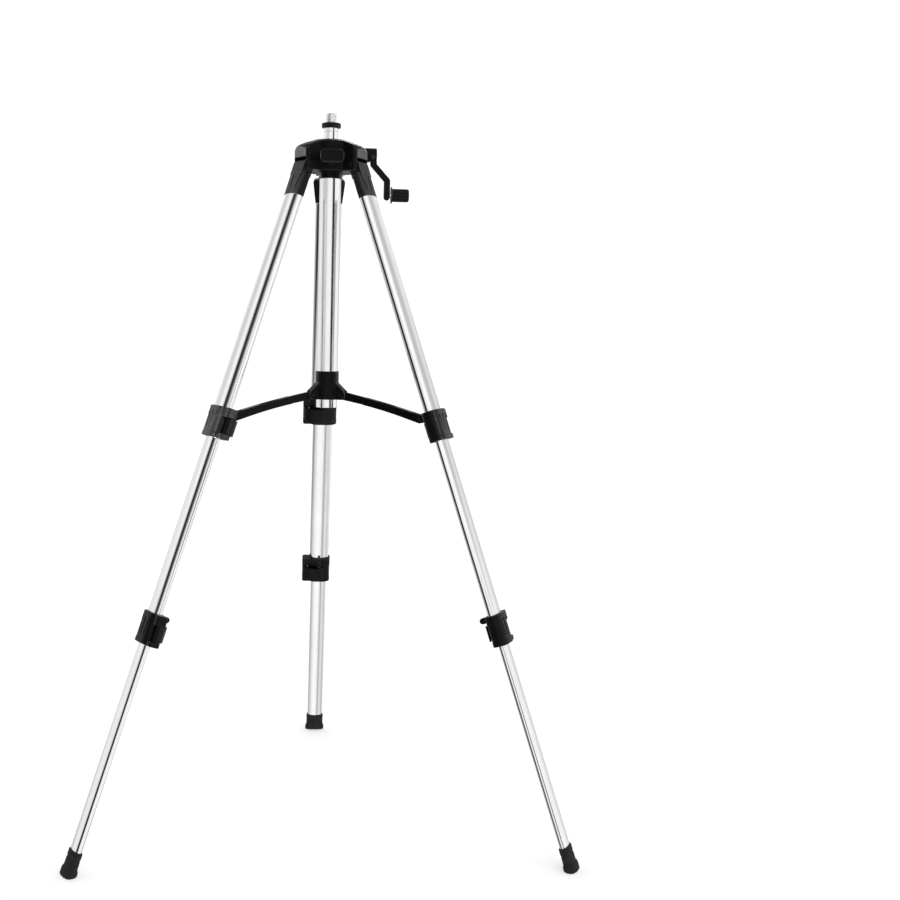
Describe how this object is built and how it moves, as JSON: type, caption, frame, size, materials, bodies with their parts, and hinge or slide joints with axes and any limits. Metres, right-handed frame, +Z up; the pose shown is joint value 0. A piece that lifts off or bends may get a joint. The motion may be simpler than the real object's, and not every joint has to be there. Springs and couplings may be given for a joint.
{
  "type": "laser level tripod",
  "caption": "Elevating tripod with telescoping oval legs, flip locks, sliding spreader, geared column with a crank, and a threaded stud for a level.",
  "frame": {"origin": "bottom centre of the bounding box, on the floor under the spread legs; the column axis stands at y = -0.10036", "axes": "+Z up the column, +X towards the crank, +Y towards the single rear leg; the clamp knob faces -Y"},
  "size_m": [0.7424, 0.6472, 1.088],
  "materials": {
    "tube_aluminium": "satin anodised, fine lengthwise brushing",
    "black_plastic": "moulded glass-filled nylon, fine grain",
    "dark_plastic": "smooth moulded plastic, low gloss",
    "grip_plastic": "ribbed moulded grip",
    "foot_rubber": "matte moulded rubber",
    "bright_steel": "turned, bright",
    "black_steel": "black oxide on turned steel",
    "cream_nylon": "natural moulded nylon"
  },
  "bodies": {
    "head": {"head_casting": "black_plastic", "centre_tube": "tube_aluminium", "tube_end_plug": "dark_plastic", "brake_pad": "cream_nylon", "leg_1_pin": "black_steel", "leg_2_pin": "black_steel", "leg_3_pin": "black_steel"},
    "column": {"column_tube": "tube_aluminium", "column_rack": "cream_nylon", "column_end_plug": "dark_plastic", "mount_stud": "bright_steel"},
    "ring": {"stud_ring": "black_steel"},
    "knob": {"lock_knob": "dark_plastic"},
    "crank": {"pinion_shaft": "bright_steel", "crank_hub": "black_plastic", "crank_fold_pin": "black_steel"},
    "crank_arm": {"crank_arm": "dark_plastic", "grip_axle": "bright_steel"},
    "grip": {"crank_grip": "grip_plastic"},
    "hub": {"spreader_hub": "black_plastic", "leg_1_hub_pin": "black_steel", "leg_2_hub_pin": "black_steel", "leg_3_hub_pin": "black_steel"},
    "leg_1": {"leg_1_block": "black_plastic", "leg_1_upper_tube": "tube_aluminium", "leg_1_upper_lock": "black_plastic", "leg_1_brace_pin": "black_steel"},
    "upper_lever_1": {"leg_1_upper_lever": "dark_plastic"},
    "middle_1": {"leg_1_middle_tube": "tube_aluminium", "leg_1_lower_lock": "black_plastic"},
    "lower_lever_1": {"leg_1_lower_lever": "dark_plastic"},
    "lower_1": {"leg_1_lower_tube": "tube_aluminium", "leg_1_foot": "foot_rubber"},
    "brace_arm_1": {"leg_1_brace_arm": "dark_plastic"},
    "brace_link_1": {"leg_1_brace_link": "dark_plastic"},
    "leg_2": {"leg_2_block": "black_plastic", "leg_2_upper_tube": "tube_aluminium", "leg_2_upper_lock": "black_plastic", "leg_2_brace_pin": "black_steel"},
    "upper_lever_2": {"leg_2_upper_lever": "dark_plastic"},
    "middle_2": {"leg_2_middle_tube": "tube_aluminium", "leg_2_lower_lock": "black_plastic"},
    "lower_lever_2": {"leg_2_lower_lever": "dark_plastic"},
    "lower_2": {"leg_2_lower_tube": "tube_aluminium", "leg_2_foot": "foot_rubber"},
    "brace_arm_2": {"leg_2_brace_arm": "dark_plastic"},
    "brace_link_2": {"leg_2_brace_link": "dark_plastic"},
    "leg_3": {"leg_3_block": "black_plastic", "leg_3_upper_tube": "tube_aluminium", "leg_3_upper_lock": "black_plastic", "leg_3_brace_pin": "black_steel"},
    "upper_lever_3": {"leg_3_upper_lever": "dark_plastic"},
    "middle_3": {"leg_3_middle_tube": "tube_aluminium", "leg_3_lower_lock": "black_plastic"},
    "lower_lever_3": {"leg_3_lower_lever": "dark_plastic"},
    "lower_3": {"leg_3_lower_tube": "tube_aluminium", "leg_3_foot": "foot_rubber"},
    "brace_arm_3": {"leg_3_brace_arm": "dark_plastic"},
    "brace_link_3": {"leg_3_brace_link": "dark_plastic"}
  },
  "joints": [
    {"name": "leg_fold_1", "type": "hinge", "parent": "head", "child": "leg_1", "pos_m": [0, -0.05336, 1.008], "axis": [-1, 0, 0], "range_deg": [0, 20]},
    {"name": "leg_fold_2", "type": "hinge", "parent": "head", "child": "leg_2", "pos_m": [-0.0407, -0.12386, 1.008], "axis": [0.5, -0.866, 0], "range_deg": [0, 20]},
    {"name": "leg_fold_3", "type": "hinge", "parent": "head", "child": "leg_3", "pos_m": [0.0407, -0.12386, 1.008], "axis": [0.5, 0.866, 0], "range_deg": [0, 20]},
    {"name": "hub_slide", "type": "slide", "parent": "head", "child": "hub", "axis": [0, 0, 1], "range_m": [0, 0.0898]},
    {"name": "brace_arm_turn_1", "type": "hinge", "parent": "leg_1", "child": "brace_arm_1", "pos_m": [0, 0.05781, 0.63822], "axis": [-1, 0, 0], "range_deg": [0, 58.6]},
    {"name": "brace_link_turn_1", "type": "hinge", "parent": "hub", "child": "brace_link_1", "pos_m": [0, -0.07336, 0.667], "axis": [-1, 0, 0], "range_deg": [0, 78.6]},
    {"name": "brace_arm_turn_2", "type": "hinge", "parent": "leg_2", "child": "brace_arm_2", "pos_m": [-0.13698, -0.17945, 0.63822], "axis": [0.5, -0.866, 0], "range_deg": [0, 58.6]},
    {"name": "brace_link_turn_2", "type": "hinge", "parent": "hub", "child": "brace_link_2", "pos_m": [-0.02338, -0.11386, 0.667], "axis": [0.5, -0.866, 0], "range_deg": [0, 78.6]},
    {"name": "brace_arm_turn_3", "type": "hinge", "parent": "leg_3", "child": "brace_arm_3", "pos_m": [0.13698, -0.17945, 0.63822], "axis": [0.5, 0.866, 0], "range_deg": [0, 58.6]},
    {"name": "brace_link_turn_3", "type": "hinge", "parent": "hub", "child": "brace_link_3", "pos_m": [0.02338, -0.11386, 0.667], "axis": [0.5, 0.866, 0], "range_deg": [0, 78.6]},
    {"name": "column_slide", "type": "slide", "parent": "head", "child": "column", "axis": [0, 0, 1], "range_m": [-0.017, 0.2]},
    {"name": "crank_turn", "type": "hinge", "parent": "head", "child": "crank", "pos_m": [0, -0.08486, 1.0303], "axis": [1, 0, 0], "range_deg": [-1911, 163]},
    {"name": "crank_fold", "type": "hinge", "parent": "crank", "child": "crank_arm", "pos_m": [0.0645, -0.08486, 1.0268], "axis": [0, 1, 0], "range_deg": [-80, 0]},
    {"name": "grip_spin", "type": "hinge", "parent": "crank_arm", "child": "grip", "pos_m": [0.106, -0.08486, 0.9715], "axis": [1, 0, 0], "continuous": true},
    {"name": "knob_turn", "type": "hinge", "parent": "head", "child": "knob", "pos_m": [0, -0.15836, 1.0188], "axis": [0, 1, 0], "range_deg": [-180, 0]},
    {"name": "ring_turn", "type": "hinge", "parent": "column", "child": "ring", "pos_m": [0, -0.10036, 1.07], "axis": [0, 0, 1], "continuous": true},
    {"name": "middle_slide_1", "type": "slide", "parent": "leg_1", "child": "middle_1", "axis": [0, -0.342, 0.9397], "range_m": [0, 0.263]},
    {"name": "lower_slide_1", "type": "slide", "parent": "middle_1", "child": "lower_1", "axis": [0, -0.342, 0.9397], "range_m": [0, 0.301]},
    {"name": "upper_lever_turn_1", "type": "hinge", "parent": "leg_1", "child": "upper_lever_1", "pos_m": [-0.0285, 0.08328, 0.62674], "axis": [0, -0.342, 0.9397], "range_deg": [-100, 0]},
    {"name": "lower_lever_turn_1", "type": "hinge", "parent": "middle_1", "child": "lower_lever_1", "pos_m": [-0.02475, 0.18965, 0.3345], "axis": [0, -0.342, 0.9397], "range_deg": [-100, 0]},
    {"name": "middle_slide_2", "type": "slide", "parent": "leg_2", "child": "middle_2", "axis": [0.2962, 0.171, 0.9397], "range_m": [0, 0.263]},
    {"name": "lower_slide_2", "type": "slide", "parent": "middle_2", "child": "lower_2", "axis": [0.2962, 0.171, 0.9397], "range_m": [0, 0.301]},
    {"name": "upper_lever_turn_2", "type": "hinge", "parent": "leg_2", "child": "upper_lever_2", "pos_m": [-0.14479, -0.21686, 0.62674], "axis": [0.2962, 0.171, 0.9397], "range_deg": [-100, 0]},
    {"name": "lower_lever_turn_2", "type": "hinge", "parent": "middle_2", "child": "lower_lever_2", "pos_m": [-0.23878, -0.2668, 0.3345], "axis": [0.2962, 0.171, 0.9397], "range_deg": [-100, 0]},
    {"name": "middle_slide_3", "type": "slide", "parent": "leg_3", "child": "middle_3", "axis": [-0.2962, 0.171, 0.9397], "range_m": [0, 0.263]},
    {"name": "lower_slide_3", "type": "slide", "parent": "middle_3", "child": "lower_3", "axis": [-0.2962, 0.171, 0.9397], "range_m": [0, 0.301]},
    {"name": "upper_lever_turn_3", "type": "hinge", "parent": "leg_3", "child": "upper_lever_3", "pos_m": [0.17329, -0.1675, 0.62674], "axis": [-0.2962, 0.171, 0.9397], "range_deg": [-100, 0]},
    {"name": "lower_lever_turn_3", "type": "hinge", "parent": "middle_3", "child": "lower_lever_3", "pos_m": [0.26353, -0.22393, 0.3345], "axis": [-0.2962, 0.171, 0.9397], "range_deg": [-100, 0]}
  ],
  "couplings": [
    {"joint": "leg_fold_2", "follows": "leg_fold_1", "ratio": 1},
    {"joint": "leg_fold_3", "follows": "leg_fold_1", "ratio": 1},
    {"joint": "hub_slide", "follows": "leg_fold_1", "m_per_rad": 0.2572},
    {"joint": "brace_arm_turn_1", "follows": "leg_fold_1", "ratio": 2.924},
    {"joint": "brace_link_turn_1", "follows": "leg_fold_1", "ratio": 3.924},
    {"joint": "brace_arm_turn_2", "follows": "leg_fold_1", "ratio": 2.924},
    {"joint": "brace_link_turn_2", "follows": "leg_fold_1", "ratio": 3.924},
    {"joint": "brace_arm_turn_3", "follows": "leg_fold_1", "ratio": 2.924},
    {"joint": "brace_link_turn_3", "follows": "leg_fold_1", "ratio": 3.924},
    {"joint": "crank_turn", "follows": "column_slide", "rad_per_m": -166.67}
  ]
}
